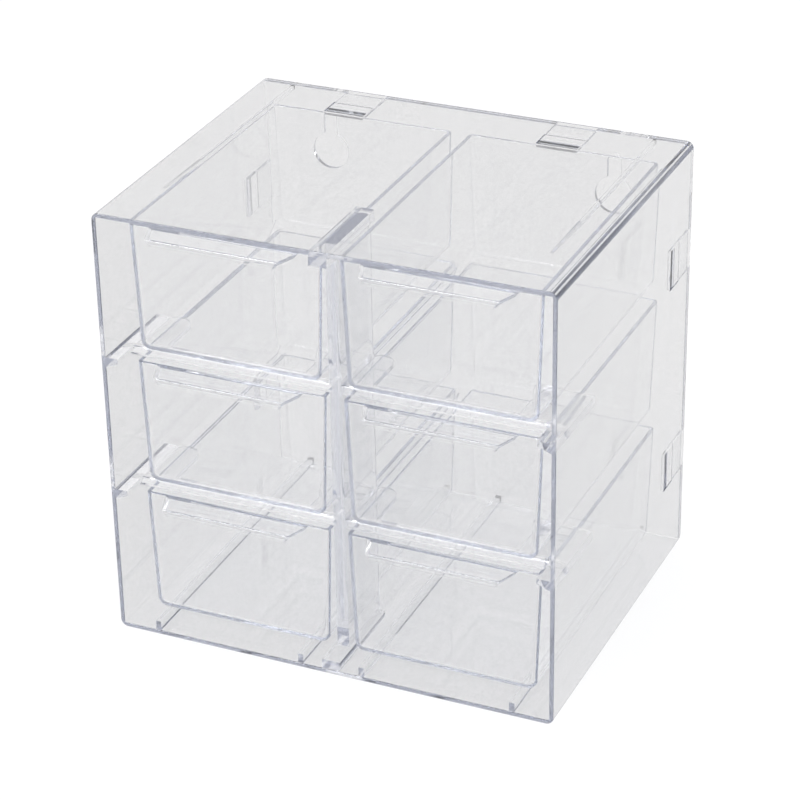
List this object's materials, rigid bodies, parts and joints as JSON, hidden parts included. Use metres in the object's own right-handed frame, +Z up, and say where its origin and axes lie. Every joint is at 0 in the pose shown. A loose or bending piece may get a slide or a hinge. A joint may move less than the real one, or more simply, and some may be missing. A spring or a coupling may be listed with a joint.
{
  "type": "desktop organiser with drawers",
  "caption": "Clear plastic desktop organiser: rectangular cabinet with a snap-in back panel and two columns of pull-out drawers with finger lips.",
  "frame": {"origin": "middle of the footprint, on the surface the cabinet stands on", "axes": "+X right as seen from the front, +Y towards the back panel, +Z up; the drawers pull out towards -Y"},
  "size_m": [0.18, 0.14, 0.174],
  "materials": {
    "clear_plastic": "clear, polished, injection moulded"
  },
  "bodies": {
    "cabinet": {"cabinet_shell": "clear_plastic", "back_panel": "clear_plastic"},
    "drawer_lower_left": {"drawer_lower_left": "clear_plastic"},
    "drawer_middle_left": {"drawer_middle_left": "clear_plastic"},
    "drawer_upper_left": {"drawer_upper_left": "clear_plastic"},
    "drawer_lower_right": {"drawer_lower_right": "clear_plastic"},
    "drawer_middle_right": {"drawer_middle_right": "clear_plastic"},
    "drawer_upper_right": {"drawer_upper_right": "clear_plastic"}
  },
  "joints": [
    {"name": "drawer_lower_left_slide", "type": "slide", "parent": "cabinet", "child": "drawer_lower_left", "axis": [0, -1, 0], "range_m": [0, 0.085]},
    {"name": "drawer_middle_left_slide", "type": "slide", "parent": "cabinet", "child": "drawer_middle_left", "axis": [0, -1, 0], "range_m": [0, 0.085]},
    {"name": "drawer_upper_left_slide", "type": "slide", "parent": "cabinet", "child": "drawer_upper_left", "axis": [0, -1, 0], "range_m": [0, 0.085]},
    {"name": "drawer_lower_right_slide", "type": "slide", "parent": "cabinet", "child": "drawer_lower_right", "axis": [0, -1, 0], "range_m": [0, 0.085]},
    {"name": "drawer_middle_right_slide", "type": "slide", "parent": "cabinet", "child": "drawer_middle_right", "axis": [0, -1, 0], "range_m": [0, 0.085]},
    {"name": "drawer_upper_right_slide", "type": "slide", "parent": "cabinet", "child": "drawer_upper_right", "axis": [0, -1, 0], "range_m": [0, 0.085]}
  ]
}
